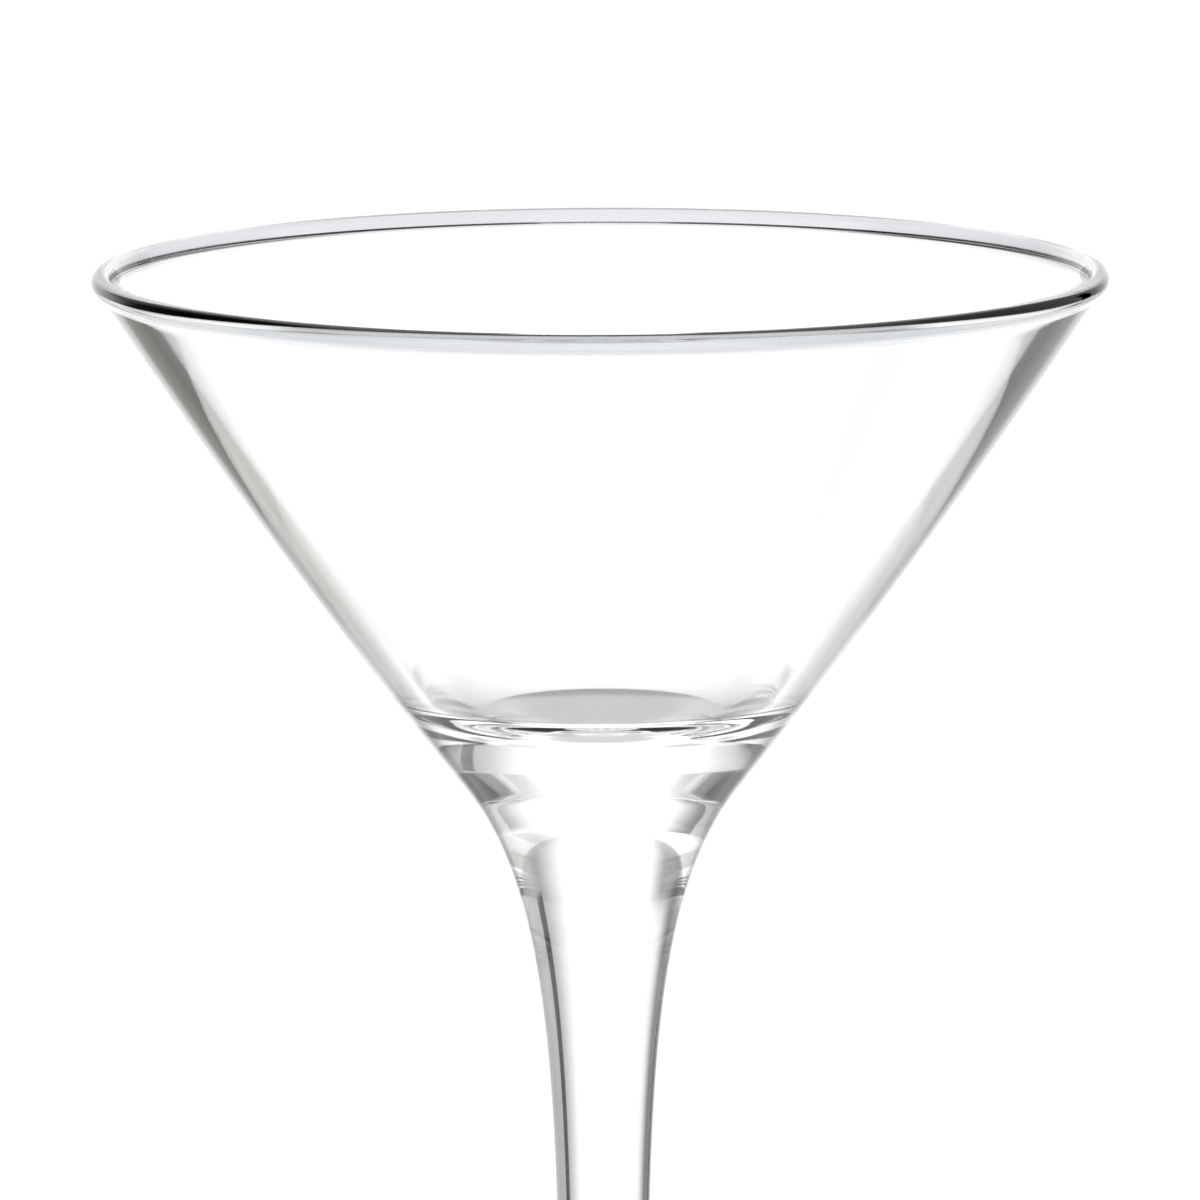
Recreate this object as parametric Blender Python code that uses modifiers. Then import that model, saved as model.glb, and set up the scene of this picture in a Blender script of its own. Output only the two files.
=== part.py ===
"""A martini glass of clear glass: a cone bowl, a tapering solid stem and a round foot.

Each of the three is its own turned solid, and they meet at two welds. Units are metres, +Z is up,
and the origin is the centre of the foot, on the surface that the glass stands on. An outline is a
list of (radius, height) points.
"""

import math

import bpy
import numpy as np

# Overall
HEIGHT = 0.172
RIM_RADIUS = 0.054
WELD_GAP = 0.0003  # left between the solids that meet at a weld
TURN_STEPS = 48
SAME_POINT = 0.00002  # points of a turned solid that are closer than this are one, on the axis

# The bowl's outside: a cone side that bows out a little between the lip and the neck
CONE_TOP_DROP = 0.00235
CONE_TOP_RADIUS = 0.05292
CONE_END_RADIUS = 0.0149
CONE_END_HEIGHT = HEIGHT - 0.0555
CONE_BOW = 0.00181  # how far the curve's middle control point stands out from a straight side

# The lip: a round edge whose outside meets the cone's side in a crease
LIP_RADIUS = 0.00105
LIP_INSIDE = math.radians(147)  # where the round edge runs into the wall's inner face
LIP_UNDERSIDE = math.radians(-50)  # where it turns into the crease
CREASE_RADIUS = 0.05308
CREASE_DROP = 0.0021
CREASE_ROUNDNESS = 0.6  # share of the way from the crease's ends to its corner

# The bowl's wall and the well at its bottom
WALL_AT_LIP = 0.0013
WALL = 0.0032
WALL_SETTLE = 0.025  # depth over which the wall grows to its full thickness
WALL_INSIDE_TOP = 0.0016  # depth where the wall's inner face starts, under the lip
WELL_START_DEPTH = 0.0445
WELL_DEPTH = 0.0471
WELL_FLOOR_RADIUS = 0.0125
WELL_WALL_LEAD = 0.0015  # a lead is how far a curve's end handle reaches along the curve
WELL_FLOOR_LEAD = 0.001

# The neck, which the bowl's base and the stem share, and where the weld cuts it
STEM_RADIUS = 0.00475
STEM_NARROW_HEIGHT = 0.046
NECK_LEAD = 0.0144
NECK_TAIL = 0.041
BOWL_WELD_SHARE = 0.19  # share of the neck's curve that belongs to the bowl

# The stem's lower flare and the foot
FOOT_RADIUS = 0.037
FOOT_WELD_RADIUS = 0.0074
FOOT_WELD_HEIGHT = 0.0105
FLARE_LEAD = 0.024
FLARE_SLOPE = math.radians(48)
FLARE_TAIL = 0.0042
FOOT_SWEEP = 0.0075
FOOT_SHOULDER_RADIUS = 0.021
FOOT_SHOULDER_HEIGHT = 0.0042
FOOT_EDGE_RADIUS = 0.00105  # of the rounded rim of the foot
FOOT_RING_RADIUS = 0.0265  # inner radius of the flat ring that it stands on
FOOT_HOLLOW = 0.0016  # height of the shallow hollow under its middle
HOLLOW_EDGE_LEAD = 0.0066
HOLLOW_MIDDLE_LEAD = 0.0106

# Points along each stretch of an outline
WALL_POINTS = 14
WALL_FINE_POINTS = 56  # along the outside that the wall's inner face is measured from
WELL_POINTS = 8
LIP_POINTS = 9
CREASE_POINTS = 2
NECK_POINTS = 5
STEM_POINTS = 16
FLARE_POINTS = 9
FOOT_POINTS = 7
EDGE_POINTS = 6

GLASS_COLOUR = (0.93, 0.96, 0.96, 1.0)
GLASS_ROUGHNESS = 0.02
GLASS_IOR = 1.52


def bezier(controls, count):
    """count + 1 points along the Bezier curve that these control points give."""
    share = np.linspace(0.0, 1.0, count + 1)[:, None]
    row = [np.array(point, float) * np.ones_like(share) for point in controls]
    while len(row) > 1:
        row = [a + (b - a) * share for a, b in zip(row, row[1:])]
    return row[0]


def split_bezier(controls, share):
    """The control points of the two curves that cutting a Bezier curve at share gives."""
    row = [np.array(point, float) for point in controls]
    first, second = [row[0]], [row[-1]]
    while len(row) > 1:
        row = [a + (b - a) * share for a, b in zip(row, row[1:])]
        first.append(row[0])
        second.append(row[-1])
    return first, second[::-1]


def rounded_corner(start, corner, end, count):
    """A curve from start to end that is rounded off inside their corner."""
    a, c, b = (np.array(point, float) for point in (start, corner, end))
    return bezier([a, a + (c - a) * CREASE_ROUNDNESS, b + (c - b) * CREASE_ROUNDNESS, b], count)


def joined(*stretches):
    """One outline from stretches that each start where the one before ends."""
    outline = [tuple(point) for point in stretches[0]]
    for stretch in stretches[1:]:
        outline += [tuple(point) for point in stretch[1:]]
    return outline


def cone_side():
    """Control points of the bowl's outer side, from under the lip to the neck."""
    top = np.array((CONE_TOP_RADIUS, HEIGHT - CONE_TOP_DROP))
    end = np.array((CONE_END_RADIUS, CONE_END_HEIGHT))
    return top, (top + end) / 2 + np.array((CONE_BOW, 0.0)), end


def neck():
    """Control points of the neck, from the cone's end to the stem's narrowest place."""
    _, middle, end = cone_side()
    along = (end - middle) / np.linalg.norm(end - middle)
    narrow = np.array((STEM_RADIUS, STEM_NARROW_HEIGHT))
    return end, end + along * NECK_LEAD, narrow + np.array((0.0, NECK_TAIL)), narrow


def wall_inside():
    """The wall's inner face, top to bottom: its outside moved in by the wall's thickness."""
    outside = bezier(cone_side(), WALL_FINE_POINTS)
    along = np.gradient(outside, axis=0)
    along /= np.linalg.norm(along, axis=1)[:, None]
    inward = np.stack([along[:, 1], -along[:, 0]], axis=1)
    depth = HEIGHT - outside[:, 1:]
    thickness = WALL - (WALL - WALL_AT_LIP) * np.exp((CONE_TOP_DROP - depth) / WALL_SETTLE)
    inside = outside + inward * thickness
    depths = np.linspace(WALL_INSIDE_TOP, WELL_START_DEPTH, WALL_POINTS)
    radii = np.interp(depths, HEIGHT - inside[:, 1], inside[:, 0])
    return np.stack([radii, HEIGHT - depths], axis=1)


def well(wall):
    """The well's rounded side and flat floor, from the end of the inner wall to the axis."""
    start = wall[-1]
    along = (wall[-1] - wall[-2]) / np.linalg.norm(wall[-1] - wall[-2])
    floor = HEIGHT - WELL_DEPTH
    edge = np.array((WELL_FLOOR_RADIUS, floor))
    side = bezier(
        [start, start + along * WELL_WALL_LEAD, edge + np.array((WELL_FLOOR_LEAD, 0.0)), edge],
        WELL_POINTS,
    )
    return joined(side, [edge, (0.0, floor)])


def lip():
    """The lip's section: its round edge, inside to outside, and the crease under it."""
    centre = np.array((RIM_RADIUS - LIP_RADIUS, HEIGHT - LIP_RADIUS))
    angles = np.linspace(LIP_INSIDE, LIP_UNDERSIDE, LIP_POINTS + 1)
    edge = centre + LIP_RADIUS * np.stack([np.cos(angles), np.sin(angles)], axis=1)
    crease = (CREASE_RADIUS, HEIGHT - CREASE_DROP)
    cone_top = (CONE_TOP_RADIUS, HEIGHT - CONE_TOP_DROP)
    return joined(edge, rounded_corner(edge[-1], crease, cone_top, CREASE_POINTS))


def bowl_outline():
    """From the well's centre up the inside, over the lip, and down the outside to the weld."""
    wall = wall_inside()
    inside = joined(well(wall)[::-1], wall[::-1])
    base, _ = split_bezier(neck(), BOWL_WELD_SHARE)
    outside = joined(bezier(cone_side(), WALL_POINTS), bezier(base, NECK_POINTS))
    return inside + joined(lip(), outside) + [(0.0, outside[-1][1])]


def stem_outline():
    """From the weld under the bowl down the taper and the flare to the weld on the foot."""
    _, taper = split_bezier(neck(), BOWL_WELD_SHARE)
    side = bezier(taper, STEM_POINTS)
    side[0, 1] -= WELD_GAP
    narrow = side[-1]
    end = np.array((FOOT_WELD_RADIUS, FOOT_WELD_HEIGHT + WELD_GAP))
    out = np.array((math.cos(FLARE_SLOPE), -math.sin(FLARE_SLOPE)))
    flare = bezier(
        [narrow, narrow - np.array((0.0, FLARE_LEAD)), end - out * FLARE_TAIL, end],
        FLARE_POINTS,
    )
    return [(0.0, side[0, 1])] + joined(side, flare) + [(0.0, end[1])]


def foot_outline():
    """From the weld out over the foot's top, round its rim, and back in under it."""
    out = np.array((math.cos(FLARE_SLOPE), -math.sin(FLARE_SLOPE)))
    weld = np.array((FOOT_WELD_RADIUS, FOOT_WELD_HEIGHT))
    shoulder = np.array((FOOT_SHOULDER_RADIUS, FOOT_SHOULDER_HEIGHT))
    rim_centre = np.array((FOOT_RADIUS - FOOT_EDGE_RADIUS, FOOT_EDGE_RADIUS))
    rim_top = rim_centre + np.array((0.0, FOOT_EDGE_RADIUS))
    slope = (rim_top - shoulder) / np.linalg.norm(rim_top - shoulder)
    top = bezier([weld, weld + out * FLARE_TAIL, shoulder - slope * FOOT_SWEEP, shoulder], FOOT_POINTS)
    angles = np.linspace(math.pi / 2, -math.pi / 2, EDGE_POINTS + 1)
    rim = [rim_centre + FOOT_EDGE_RADIUS * np.array((math.cos(a), math.sin(a))) for a in angles]
    ring = np.array((FOOT_RING_RADIUS, 0.0))
    hollow = bezier(
        [
            ring,
            (FOOT_RING_RADIUS - HOLLOW_EDGE_LEAD, 0.0),
            (HOLLOW_MIDDLE_LEAD, FOOT_HOLLOW),
            (0.0, FOOT_HOLLOW),
        ],
        FOOT_POINTS,
    )
    return [(0.0, weld[1])] + joined(top, [shoulder, rim_top], rim, [rim[-1], ring], hollow)


def clear_glass(name):
    """Clear, colourless glass with a polished surface."""
    material = bpy.data.materials.new(name)
    material.use_nodes = True
    shader = material.node_tree.nodes["Principled BSDF"]
    shader.inputs["Base Color"].default_value = GLASS_COLOUR
    shader.inputs["Roughness"].default_value = GLASS_ROUGHNESS
    shader.inputs["Metallic"].default_value = 0.0
    shader.inputs["IOR"].default_value = GLASS_IOR
    shader.inputs["Transmission Weight"].default_value = 1.0
    return material


def turned(name, outline, collection):
    """A closed solid from an outline that starts and ends on the axis and runs down its outside."""
    mesh = bpy.data.meshes.new(name)
    points = [(radius, 0.0, height) for radius, height in outline]
    mesh.from_pydata(points, [(i, i + 1) for i in range(len(points) - 1)], [])
    piece = bpy.data.objects.new(name, mesh)
    collection.objects.link(piece)
    screw = piece.modifiers.new("turn", "SCREW")
    screw.steps = TURN_STEPS
    screw.render_steps = TURN_STEPS
    screw.use_merge_vertices = True
    screw.merge_threshold = SAME_POINT
    screw.use_smooth_shade = True
    mesh.materials.append(clear_glass(name + "_glass"))
    return piece


def main():
    for item in list(bpy.data.objects):
        bpy.data.objects.remove(item)
    collection = bpy.data.collections.new("martini_glass")
    bpy.context.scene.collection.children.link(collection)
    turned("bowl", bowl_outline(), collection)
    turned("stem", stem_outline(), collection)
    turned("foot", foot_outline(), collection)


main()
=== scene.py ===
import math

import bpy
import numpy as np
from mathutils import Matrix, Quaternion, Vector


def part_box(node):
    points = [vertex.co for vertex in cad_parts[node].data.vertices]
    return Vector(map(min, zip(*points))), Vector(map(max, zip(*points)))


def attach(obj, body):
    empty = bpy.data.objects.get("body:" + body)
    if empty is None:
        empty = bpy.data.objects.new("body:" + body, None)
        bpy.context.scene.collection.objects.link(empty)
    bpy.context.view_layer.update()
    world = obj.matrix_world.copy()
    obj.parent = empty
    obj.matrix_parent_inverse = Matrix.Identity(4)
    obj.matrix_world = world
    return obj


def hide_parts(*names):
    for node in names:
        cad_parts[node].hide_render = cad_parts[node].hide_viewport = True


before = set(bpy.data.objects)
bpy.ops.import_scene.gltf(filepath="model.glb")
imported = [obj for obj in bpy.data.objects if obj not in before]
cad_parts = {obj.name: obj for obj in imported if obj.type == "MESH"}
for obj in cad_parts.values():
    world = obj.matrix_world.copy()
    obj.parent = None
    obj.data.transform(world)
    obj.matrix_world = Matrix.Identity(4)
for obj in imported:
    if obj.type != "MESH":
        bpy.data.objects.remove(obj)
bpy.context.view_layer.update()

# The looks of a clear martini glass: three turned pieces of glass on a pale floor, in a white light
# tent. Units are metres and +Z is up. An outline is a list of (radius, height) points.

# Taken from the frame
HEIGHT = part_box("bowl")[1].z
RIM_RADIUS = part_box("bowl")[1].x
BOWL_WELD_HEIGHT = (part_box("bowl")[0].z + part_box("stem")[1].z) / 2
FOOT_WELD_HEIGHT = (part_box("foot")[1].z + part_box("stem")[0].z) / 2
FOOT_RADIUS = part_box("foot")[1].x
WELD_GAP = 0.00001  # between two pieces, where they are welded
TURN_STEPS = 256
SAME_POINT = 0.0000001  # two places that are closer than this are one
SHARP_EDGE = math.radians(50)  # faces that meet at more than this keep a sharp edge

# The bowl's outside: a cone side that bows out a little between the lip and the neck
CONE_TOP_DROP = 0.00235
CONE_TOP_RADIUS = 0.05292
CONE_END_RADIUS = 0.0149
CONE_END_HEIGHT = HEIGHT - 0.0555
CONE_BOW = 0.00181  # how far the curve's middle control point stands out from a straight side
CONE_SLOPE = (CONE_TOP_RADIUS - CONE_END_RADIUS) / (HEIGHT - CONE_TOP_DROP - CONE_END_HEIGHT)

# The lip: a round edge whose outside meets the cone's side in a crease
LIP_RADIUS = 0.00105
LIP_INSIDE = math.radians(147)  # where the round edge runs into the wall's inner face
LIP_UNDERSIDE = math.radians(-50)  # where it turns into the crease
CREASE_RADIUS = 0.05308
CREASE_DROP = 0.0021
CREASE_ROUNDNESS = 0.6  # share of the way from the crease's ends to its corner

# The bowl's wall and the well at its bottom
WALL_AT_LIP = 0.0013
WALL = 0.0032
WALL_SETTLE = 0.025  # depth over which the wall grows to its full thickness
WALL_INSIDE_TOP = 0.0016  # depth where the wall's inner face starts, under the lip
WELL_START_DEPTH = 0.0445
WELL_DEPTH = 0.0471
WELL_FLOOR_RADIUS = 0.0125
WELL_WALL_LEAD = 0.0015  # a lead is how far a curve's end handle reaches along the curve
WELL_FLOOR_LEAD = 0.001

# The neck, which the bowl's base and the stem share
STEM_RADIUS = 0.00475
STEM_NARROW_HEIGHT = 0.046
NECK_LEAD = 0.0144
NECK_TAIL = 0.041

# The stem's lower flare and the foot
FOOT_WELD_RADIUS = 0.0074
FLARE_LEAD = 0.024
FLARE_SLOPE = math.radians(48)
FLARE_TAIL = 0.0042
FOOT_SWEEP = 0.0075
FOOT_SHOULDER_RADIUS = 0.021
FOOT_SHOULDER_HEIGHT = 0.0042
FOOT_EDGE_RADIUS = 0.00105
FOOT_RING_RADIUS = 0.0265  # inner radius of the flat ring that it stands on
FOOT_HOLLOW = 0.0016  # height of the shallow hollow under its middle
HOLLOW_EDGE_LEAD = 0.25 * FOOT_RING_RADIUS
HOLLOW_MIDDLE_LEAD = 0.4 * FOOT_RING_RADIUS

# Points along each stretch of an outline
WALL_POINTS = 60
WALL_FINE_POINTS = 120  # along the outside that the wall's inner face is measured from
WELL_POINTS = 30
LIP_POINTS = 40
CREASE_POINTS = 10
NECK_POINTS = 90
FLARE_POINTS = 40
FOOT_POINTS = 40
SHOULDER_POINTS = 8
EDGE_POINTS = 12

# Camera
CAMERA_ELEVATION = math.radians(9.32)
CAMERA_DISTANCE = 0.985
CAMERA_AIM = Vector((-0.00014, 0.0, HEIGHT - 0.03577))
CAMERA_ROLL = math.radians(0.2)
CAMERA_LENS = 276.8
SENSOR = 36.0

# Light tent. A direction is a turn in degrees (0 straight ahead, 90 to the right, -90 to the left)
# and a rise in degrees. Each shade is a window in both (starts, full, still full, ends) and the
# share of the white that is left in it.
TENT_WHITE = 1.24
BACKDROP_WHITE = 1.05
FLOOR_LIGHT = 1.25
SHADES = (
    ("right card", (12, 38, 76, 104), (-20, -12, 46, 66), (0.33, 0.325, 0.32)),
    ("right card's edge", (34.6, 36.2, 41.2, 42.8), (-20, -14, 12, 16), (0.0, 0.0, 0.0)),
    ("right card, behind the viewer", (96, 108, 150, 165), (-3, 5, 46, 66), (0.65, 0.64, 0.63)),
    ("left card", (-88, -76, -52, -36), (-20, -12, 46, 66), (0.09, 0.08, 0.07)),
    ("left card's soft edge", (-88, -76, -42, -18), (-20, -12, 46, 66), (0.72, 0.72, 0.71)),
    ("left card's upper part", (-80, -66, -34, -20), (6, 16, 40, 58), (0.4, 0.4, 0.4)),
    ("left card, behind the viewer", (-112, -102, -84, -76), (1, 8, 46, 66), (0.2, 0.2, 0.2)),
    ("left of the table", (-36, -28, -20, -13), (-34, -28, -19, -15), (0.6, 0.6, 0.57)),
    ("right of the table", (13, 20, 28, 36), (-34, -28, -19, -15), (0.72, 0.72, 0.7)),
    ("the floor past the table", (-181, -180, 180, 181), (-92, -91, -54, -46), (0.54, 0.54, 0.55)),
    ("floor behind the viewer, right", (105, 115, 155, 165), (-62, -52, -28, -20), (0.5, 0.49, 0.47)),
    ("floor behind the viewer, left", (-165, -155, -115, -105), (-62, -52, -28, -20), (0.6, 0.59, 0.58)),
    ("floor at the left", (-140, -122, -78, -60), (-60, -52, -38, -30), (0.06, 0.075, 0.08)),
    ("floor at the right", (60, 78, 122, 140), (-60, -52, -38, -30), (0.06, 0.075, 0.08)),
)

# How often a ray may cross and bounce inside the glass. Light that would bounce inside the lip and
# the wall more often than MIRROR_BOUNCES is lost in them, which draws their dark lines.
BOUNCES = 24
MIRROR_BOUNCES = 12

# The tent's stage
WHITE = (1.0, 1.0, 1.0, 1.0)
FLOOR_COLOUR = (0.86, 0.86, 0.86, 1.0)
FLOOR_ROUGHNESS = 0.9
FLOOR_RADIUS = 6.0
FLOOR_SIDES = 96
FLOOR_DROP = 0.0001  # how far it lies below the foot

# Glass tint, and the painted shade that greys the lip and darkens thick edges
GLASS_IOR = 1.52
GLASS_TINT = (0.985, 0.995, 0.992, 1.0)
LIP_PAINTED_SHADE = (0.66, 0.67, 0.69, 1.0)  # painted shade: the lip greyer than clear glass alone draws it, as in the photo
LIP_SHADE_STARTS = HEIGHT - 0.0024
LIP_SHADE_FULL = HEIGHT - 0.0018
EDGE_PAINTED_SHADE = (0.1, 0.102, 0.1, 1.0)  # painted shade: dark edges where thick glass turns away from view
EDGE_STARTS = 0.5  # how far it has turned away: 0 is square on, 1 is edge on
EDGE_FULL = 0.85
THICK_BELOW = HEIGHT - 0.036  # from here up the edge's painted shade fades, and it is gone at THIN_ABOVE
THIN_ABOVE = HEIGHT - 0.016
INNER_FACE = -0.0014  # radius past the cone's straight side: the wall's inner face is within this
OUTER_FACE = -0.0006

# Glass, and how its polish and its surface vary
WELL_TOP = HEIGHT - 0.0435  # the well's surface is a little less smooth, up to this height
WELL_BOTTOM = HEIGHT - 0.0474
WELL_TOP_FADE = 0.0006
WELL_BOTTOM_FADE = 0.00015
WELL_RADIUS = 0.0205
WELL_ROUGHNESS = 0.06
POLISH_SCALE = 60.0  # cells per metre of the noise that varies the polish
POLISH_NOISE = (0.35, 0.75)
POLISH_ROUGHNESS = (0.0, 0.012)
WAVE_SCALE = 45.0
WAVE_HEIGHT = 0.000012


# ---------------------------------------------------------------- outlines

def bezier(controls, count):
    """count + 1 points along the Bezier curve that these control points give."""
    share = np.linspace(0.0, 1.0, count + 1)[:, None]
    row = [np.array(point, float) * np.ones_like(share) for point in controls]
    while len(row) > 1:
        row = [a + (b - a) * share for a, b in zip(row, row[1:])]
    return row[0]


def rounded_corner(start, corner, end, count):
    """A curve from start to end that is rounded off inside their corner."""
    a, c, b = (np.array(point, float) for point in (start, corner, end))
    return bezier([a, a + (c - a) * CREASE_ROUNDNESS, b + (c - b) * CREASE_ROUNDNESS, b], count)


def joined(*stretches):
    """One outline from stretches that each start where the one before ends."""
    outline = [tuple(point) for point in stretches[0]]
    for stretch in stretches[1:]:
        outline += [tuple(point) for point in stretch[1:]]
    return outline


def cone_side():
    """Control points of the bowl's outer side, from under the lip to the neck."""
    top = np.array((CONE_TOP_RADIUS, HEIGHT - CONE_TOP_DROP))
    end = np.array((CONE_END_RADIUS, CONE_END_HEIGHT))
    return top, (top + end) / 2 + np.array((CONE_BOW, 0.0)), end


def neck():
    """The neck's curve, from the cone's end to the stem's narrowest place."""
    _, middle, end = cone_side()
    along = (end - middle) / np.linalg.norm(end - middle)
    narrow = np.array((STEM_RADIUS, STEM_NARROW_HEIGHT))
    controls = [end, end + along * NECK_LEAD, narrow + np.array((0.0, NECK_TAIL)), narrow]
    return bezier(controls, NECK_POINTS)


def cut(side, height, above):
    """The part of a side, which runs downwards, that is above or below a height."""
    edge = (np.interp(height, side[::-1, 1], side[::-1, 0]), height)
    if above:
        return np.vstack([side[side[:, 1] > height], [edge]])
    return np.vstack([[edge], side[side[:, 1] < height]])


def wall_inside():
    """The wall's inner face, top to bottom: its outside moved in by the wall's thickness."""
    outside = bezier(cone_side(), WALL_FINE_POINTS)
    along = np.gradient(outside, axis=0)
    along /= np.linalg.norm(along, axis=1)[:, None]
    inward = np.stack([along[:, 1], -along[:, 0]], axis=1)
    depth = HEIGHT - outside[:, 1:]
    thickness = WALL - (WALL - WALL_AT_LIP) * np.exp((CONE_TOP_DROP - depth) / WALL_SETTLE)
    inside = outside + inward * thickness
    depths = np.linspace(WALL_INSIDE_TOP, WELL_START_DEPTH, WALL_POINTS)
    radii = np.interp(depths, HEIGHT - inside[:, 1], inside[:, 0])
    return np.stack([radii, HEIGHT - depths], axis=1)


def well(wall):
    """The well's rounded side and flat floor, from the end of the inner wall to the axis."""
    start = wall[-1]
    along = (wall[-1] - wall[-2]) / np.linalg.norm(wall[-1] - wall[-2])
    floor = HEIGHT - WELL_DEPTH
    edge = np.array((WELL_FLOOR_RADIUS, floor))
    side = bezier(
        [start, start + along * WELL_WALL_LEAD, edge + np.array((WELL_FLOOR_LEAD, 0.0)), edge],
        WELL_POINTS,
    )
    return joined(side, [edge, edge * (0.5, 1.0), edge * (0.0, 1.0)])


def lip():
    """The lip's section: its round edge, inside to outside, and the crease under it."""
    centre = np.array((RIM_RADIUS - LIP_RADIUS, HEIGHT - LIP_RADIUS))
    angles = np.linspace(LIP_INSIDE, LIP_UNDERSIDE, LIP_POINTS + 1)
    edge = centre + LIP_RADIUS * np.stack([np.cos(angles), np.sin(angles)], axis=1)
    crease = (CREASE_RADIUS, HEIGHT - CREASE_DROP)
    cone_top = (CONE_TOP_RADIUS, HEIGHT - CONE_TOP_DROP)
    return joined(edge, rounded_corner(edge[-1], crease, cone_top, CREASE_POINTS))


def bowl_outline():
    """From the well's centre up the inside, over the lip, and down the outside to the weld."""
    wall = wall_inside()
    inside = joined(well(wall)[::-1], wall[::-1])
    base = cut(neck(), BOWL_WELD_HEIGHT + WELD_GAP / 2, above=True)
    outside = joined(lip(), bezier(cone_side(), WALL_POINTS), base)
    return inside + outside + [(0.0, outside[-1][1])]


def flare():
    """The stem's lower side, from its narrowest place out to the weld on the foot."""
    narrow = np.array((STEM_RADIUS, STEM_NARROW_HEIGHT))
    end = np.array((FOOT_WELD_RADIUS, FOOT_WELD_HEIGHT + WELD_GAP / 2))
    out = np.array((math.cos(FLARE_SLOPE), -math.sin(FLARE_SLOPE)))
    lead = np.array((0.0, FLARE_LEAD))
    return bezier([narrow, narrow - lead, end - out * FLARE_TAIL, end], FLARE_POINTS)


def stem_outline():
    """From the weld under the bowl down the taper and the flare to the weld on the foot."""
    taper = cut(neck(), BOWL_WELD_HEIGHT - WELD_GAP / 2, above=False)
    side = joined(taper, flare())
    return [(0.0, side[0][1])] + side + [(0.0, side[-1][1])]


def foot_outline():
    """From the weld out over the foot's top, round its rim, and back in under it."""
    out = np.array((math.cos(FLARE_SLOPE), -math.sin(FLARE_SLOPE)))
    weld = np.array((FOOT_WELD_RADIUS, FOOT_WELD_HEIGHT - WELD_GAP / 2))
    shoulder = np.array((FOOT_SHOULDER_RADIUS, FOOT_SHOULDER_HEIGHT))
    rim_centre = np.array((FOOT_RADIUS - FOOT_EDGE_RADIUS, FOOT_EDGE_RADIUS))
    rim_top = rim_centre + np.array((0.0, FOOT_EDGE_RADIUS))
    slope = (rim_top - shoulder) / np.linalg.norm(rim_top - shoulder)
    top = bezier([weld, weld + out * FLARE_TAIL, shoulder - slope * FOOT_SWEEP, shoulder], FOOT_POINTS)
    angles = np.linspace(math.pi / 2, -math.pi / 2, EDGE_POINTS + 1)
    rim = [rim_centre + FOOT_EDGE_RADIUS * np.array((math.cos(a), math.sin(a))) for a in angles]
    ring = np.array((FOOT_RING_RADIUS, 0.0))
    hollow = bezier(
        [
            ring,
            (FOOT_RING_RADIUS - HOLLOW_EDGE_LEAD, 0.0),
            (HOLLOW_MIDDLE_LEAD, FOOT_HOLLOW),
            (0.0, FOOT_HOLLOW),
        ],
        FOOT_POINTS,
    )
    slope_down = bezier([shoulder, rim_top], SHOULDER_POINTS)
    return [(0.0, weld[1])] + joined(top, slope_down, rim, [rim[-1], ring], hollow)


# ---------------------------------------------------------------- shader maths

class ShaderMaths:
    """Adds maths nodes to a node tree, so that a formula reads as one."""

    def __init__(self, tree):
        self.tree = tree

    def node(self, kind, *values, **settings):
        """A new node with these settings, and these values or outputs on its first inputs."""
        node = self.tree.nodes.new(kind)
        for name, value in settings.items():
            setattr(node, name, value)
        for socket, value in zip(node.inputs, values):
            self.plug(socket, value)
        return node

    def plug(self, socket, value):
        """Links an output to the socket, or sets the socket to a plain value."""
        if isinstance(value, bpy.types.NodeSocket):
            self.tree.links.new(value, socket)
        else:
            socket.default_value = value

    def maths(self, operation, *values):
        return self.node("ShaderNodeMath", *values, operation=operation).outputs[0]

    def vectors(self, operation, *values):
        return self.node("ShaderNodeVectorMath", *values, operation=operation)

    def step(self, value, start, end):
        """0 before start, 1 after end, and smooth between."""
        settings = {"interpolation_type": "SMOOTHSTEP"}
        return self.node("ShaderNodeMapRange", value, start, end, 0.0, 1.0, **settings).outputs[0]

    def window(self, value, starts, full, still_full, ends):
        """1 between full and still_full, 0 outside starts and ends."""
        opening = self.step(value, starts, full)
        closing = self.maths("SUBTRACT", 1.0, self.step(value, still_full, ends))
        return self.maths("MULTIPLY", opening, closing)

    def ramp(self, value, start, end, first, last):
        """first before start, last after end, and a straight ramp between."""
        return self.node("ShaderNodeMapRange", value, start, end, first, last).outputs[0]

    def noise(self, place, scale):
        node = self.node("ShaderNodeTexNoise", place)
        node.inputs["Scale"].default_value = scale
        return node.outputs["Fac"]

    def mix(self, factor, first, second):
        """A colour that goes from first to second as factor goes from 0 to 1."""
        node = self.node("ShaderNodeMix", data_type="RGBA")
        colours = [socket for socket in node.inputs if socket.type == "RGBA"]
        for socket, value in zip([node.inputs[0]] + colours, (factor, first, second)):
            self.plug(socket, value)
        return next(socket for socket in node.outputs if socket.type == "RGBA")


# ---------------------------------------------------------------- materials

def glass_tint_and_painted_shade(sums, height, outside, below_wall):
    """The glass's own tint, with painted shade: a grey lip, and dark edges where thick glass turns away.
    """
    # painted shade: the lip's glass is greyed, a grey that clear glass alone does not give it
    lip_shade_mask = sums.step(height, LIP_SHADE_STARTS, LIP_SHADE_FULL)
    tint_and_lip_shade = sums.mix(lip_shade_mask, GLASS_TINT, LIP_PAINTED_SHADE)
    thick = sums.step(height, THIN_ABOVE, THICK_BELOW)
    not_inner_wall = sums.maths("MAXIMUM", outside, below_wall)
    # painted shade: thick glass is darkened where it turns away from view, which draws dark edges
    turned_away = sums.node("ShaderNodeLayerWeight", 0.5).outputs["Facing"]
    at_edge = sums.step(turned_away, EDGE_STARTS, EDGE_FULL)
    painted_edge_shade = sums.maths("MULTIPLY", at_edge, sums.maths("MULTIPLY", thick, not_inner_wall))
    return sums.mix(painted_edge_shade, tint_and_lip_shade, EDGE_PAINTED_SHADE)


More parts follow.
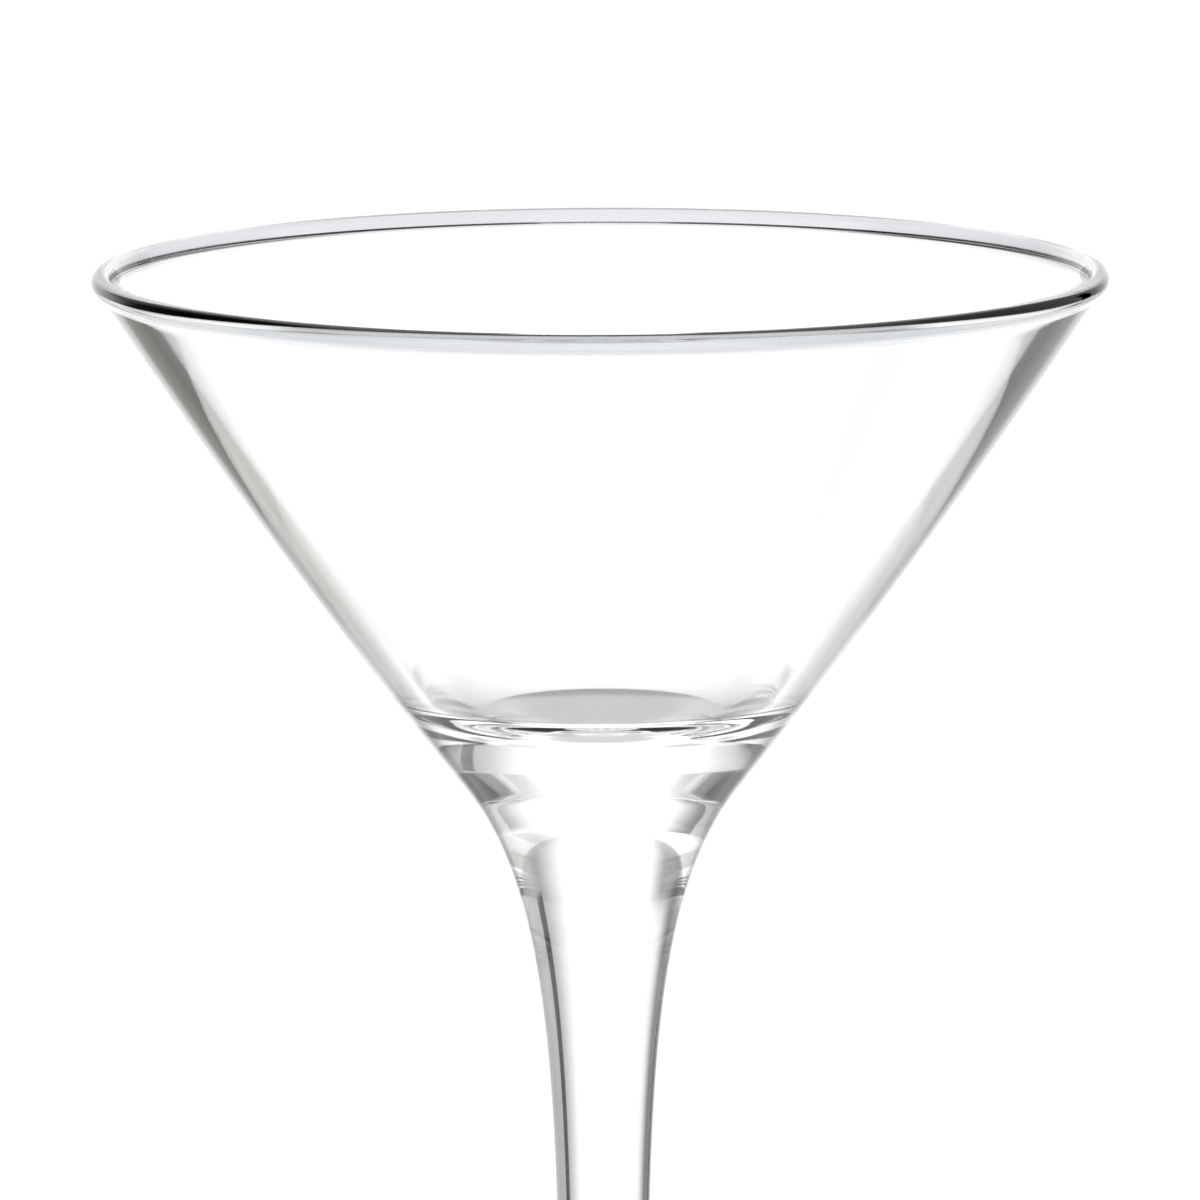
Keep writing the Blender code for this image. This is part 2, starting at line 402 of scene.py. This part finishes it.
def glass_roughness(sums, place, radius, height):
    """A polish that varies from place to place, and is a little less in the well."""
    polish = sums.noise(place, POLISH_SCALE)
    polished = sums.ramp(polish, *POLISH_NOISE, *POLISH_ROUGHNESS)
    near_axis = sums.step(radius, WELL_RADIUS + WELL_TOP_FADE, WELL_RADIUS)
    levels = (WELL_BOTTOM - WELL_BOTTOM_FADE, WELL_BOTTOM, WELL_TOP, WELL_TOP + WELL_TOP_FADE)
    in_well = sums.maths("MULTIPLY", near_axis, sums.window(height, *levels))
    return sums.maths("ADD", polished, sums.maths("MULTIPLY", in_well, WELL_ROUGHNESS))


def clear_glass():
    """Fire-polished glass: its polish and surface vary a little from place to place, and painted shade
    greys its lip and darkens its thick edges.
    """
    material = bpy.data.materials.new("clear_glass")
    material.use_nodes = True
    shader = material.node_tree.nodes["Principled BSDF"]
    shader.inputs["IOR"].default_value = GLASS_IOR
    shader.inputs["Transmission Weight"].default_value = 1.0
    sums = ShaderMaths(material.node_tree)
    place = sums.node("ShaderNodeTexCoord").outputs["Object"]
    height = sums.node("ShaderNodeSeparateXYZ", place).outputs["Z"]
    level = sums.vectors("MULTIPLY", place, (1.0, 1.0, 0.0)).outputs[0]
    radius = sums.vectors("LENGTH", level).outputs["Value"]
    above_cone_end = sums.maths("SUBTRACT", height, CONE_END_HEIGHT)
    widened = sums.maths("MULTIPLY", above_cone_end, CONE_SLOPE)
    past_cone = sums.maths("SUBTRACT", radius, sums.maths("ADD", widened, CONE_END_RADIUS))
    outside = sums.step(past_cone, INNER_FACE, OUTER_FACE)
    below_wall = sums.step(height, WELL_TOP + WELL_TOP_FADE, WELL_TOP)
    sums.plug(shader.inputs["Base Color"], glass_tint_and_painted_shade(sums, height, outside, below_wall))
    sums.plug(shader.inputs["Roughness"], glass_roughness(sums, place, radius, height))
    wave = sums.node("ShaderNodeBump")
    sums.plug(wave.inputs["Height"], sums.noise(place, WAVE_SCALE))
    sums.plug(wave.inputs["Distance"], WAVE_HEIGHT)
    sums.plug(shader.inputs["Normal"], wave.outputs[0])
    return material


def weld_face():
    """The face inside the glass where two pieces are welded: nothing shows there."""
    material = bpy.data.materials.new("weld_face")
    material.use_nodes = True
    shader = material.node_tree.nodes["Principled BSDF"]
    shader.inputs["Base Color"].default_value = GLASS_TINT
    shader.inputs["IOR"].default_value = 1.0
    shader.inputs["Alpha"].default_value = 0.0
    return material


# ---------------------------------------------------------------- pieces

def ring_of_points(points, radius, height):
    """Adds one ring of an outline to points, and returns its points' indices."""
    start = len(points)
    if radius < SAME_POINT:
        points.append((0.0, 0.0, height))
        return [start] * TURN_STEPS
    angles = np.arange(TURN_STEPS) * 2 * math.pi / TURN_STEPS
    points += [(radius * x, radius * y, height) for x, y in zip(np.cos(angles), np.sin(angles))]
    return list(range(start, start + TURN_STEPS))


def turned(name, outline, materials, weld_heights):
    """A closed solid of revolution. Its flat faces at a weld height take the second material."""
    points, faces, slots = [], [], []
    rings = [ring_of_points(points, radius, height) for radius, height in outline]
    for (upper, lower), (a, b) in zip(zip(rings, rings[1:]), zip(outline, outline[1:])):
        at_weld = any(max(abs(a[1] - h), abs(b[1] - h)) < SAME_POINT for h in weld_heights)
        for k in range(TURN_STEPS):
            after = (k + 1) % TURN_STEPS
            corners = [upper[k], lower[k], lower[after], upper[after]]
            faces.append(list(dict.fromkeys(corners)))
            slots.append(int(at_weld))
    mesh = bpy.data.meshes.new(name)
    mesh.from_pydata(points, [], faces)
    for material in materials:
        mesh.materials.append(material)
    mesh.polygons.foreach_set("material_index", slots)
    mesh.shade_smooth()
    mesh.set_sharp_from_angle(angle=SHARP_EDGE)
    mesh.update()
    piece = bpy.data.objects.new(name, mesh)
    bpy.context.scene.collection.objects.link(piece)
    return piece


def glass_piece(name, node, outline, materials):
    """A turned piece of glass that stands for a CAD node."""
    welds = (
        BOWL_WELD_HEIGHT + WELD_GAP / 2,
        BOWL_WELD_HEIGHT - WELD_GAP / 2,
        FOOT_WELD_HEIGHT + WELD_GAP / 2,
        FOOT_WELD_HEIGHT - WELD_GAP / 2,
    )
    piece = turned(name, outline, materials, welds)
    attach(piece, "root")
    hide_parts(node)
    return piece


# ---------------------------------------------------------------- floor, light and camera

def pale_floor():
    """A wide pale floor, just under the glass."""
    bpy.ops.mesh.primitive_circle_add(
        vertices=FLOOR_SIDES, radius=FLOOR_RADIUS, fill_type="NGON", location=(0, 0, -FLOOR_DROP)
    )
    floor = bpy.context.object
    floor.name = "floor"
    material = bpy.data.materials.new("pale_floor")
    material.use_nodes = True
    shader = material.node_tree.nodes["Principled BSDF"]
    shader.inputs["Base Color"].default_value = FLOOR_COLOUR
    shader.inputs["Roughness"].default_value = FLOOR_ROUGHNESS
    shader.inputs["Specular IOR Level"].default_value = 0.0
    floor.data.materials.append(material)
    floor.visible_transmission = False
    floor.visible_glossy = False


def tent_colour(sums):
    """The tent's colour for a direction: white, times every shade that the direction is in."""
    direction = sums.node("ShaderNodeTexCoord").outputs["Generated"]
    x, y, z = sums.node("ShaderNodeSeparateXYZ", direction).outputs
    turn = sums.maths("DEGREES", sums.maths("ARCTAN2", x, y))
    rise = sums.maths("DEGREES", sums.maths("ARCSINE", z))
    colour = (1.0, 1.0, 1.0)
    for _, turns, rises, share in SHADES:
        amount = sums.maths("MULTIPLY", sums.window(turn, *turns), sums.window(rise, *rises))
        lost = sums.vectors("SCALE", [value - 1.0 for value in share])
        sums.plug(lost.inputs["Scale"], amount)
        left = sums.vectors("ADD", lost.outputs[0], (1.0, 1.0, 1.0))
        colour = sums.vectors("MULTIPLY", colour, left.outputs[0]).outputs[0]
    return colour


def light_tent():
    """White all round, with soft shades that draw the edges of the glass."""
    world = bpy.data.worlds.new("light_tent")
    bpy.context.scene.world = world
    world.use_nodes = True
    world.node_tree.nodes.clear()
    sums = ShaderMaths(world.node_tree)
    tent = sums.node("ShaderNodeBackground", tent_colour(sums), TENT_WHITE)
    backdrop = sums.node("ShaderNodeBackground", WHITE, BACKDROP_WHITE)
    fill = sums.node("ShaderNodeBackground", WHITE, FLOOR_LIGHT)
    path = sums.node("ShaderNodeLightPath").outputs
    lit = sums.node("ShaderNodeMixShader", path["Is Diffuse Ray"], tent.outputs[0], fill.outputs[0])
    seen = sums.node("ShaderNodeMixShader", path["Is Camera Ray"], lit.outputs[0], backdrop.outputs[0])
    sums.node("ShaderNodeOutputWorld", seen.outputs[0])


def camera():
    """The camera, which looks a little down at the bowl from far off."""
    data = bpy.data.cameras.new("camera")
    data.sensor_width = SENSOR
    data.lens = CAMERA_LENS
    data.clip_start = 0.01
    data.clip_end = 100.0
    eye = bpy.data.objects.new("camera", data)
    bpy.context.scene.collection.objects.link(eye)
    forward = Vector((0.0, math.cos(CAMERA_ELEVATION), -math.sin(CAMERA_ELEVATION)))
    eye.location = CAMERA_AIM - forward * CAMERA_DISTANCE
    eye.rotation_mode = "QUATERNION"
    eye.rotation_quaternion = forward.to_track_quat("-Z", "Y") @ Quaternion((0, 0, 1), -CAMERA_ROLL)
    bpy.context.scene.camera = eye


def render_settings():
    """The bounces that light takes through thick glass, and colours shown as they are."""
    scene = bpy.context.scene
    scene.view_settings.view_transform = "Standard"
    scene.cycles.max_bounces = BOUNCES
    scene.cycles.transmission_bounces = BOUNCES
    scene.cycles.glossy_bounces = MIRROR_BOUNCES


camera()
light_tent()
pale_floor()
render_settings()
finishes = (clear_glass(), weld_face())
glass_piece("glass_bowl", "bowl", bowl_outline(), finishes)
glass_piece("glass_stem", "stem", stem_outline(), finishes)
glass_piece("glass_foot", "foot", foot_outline(), finishes)
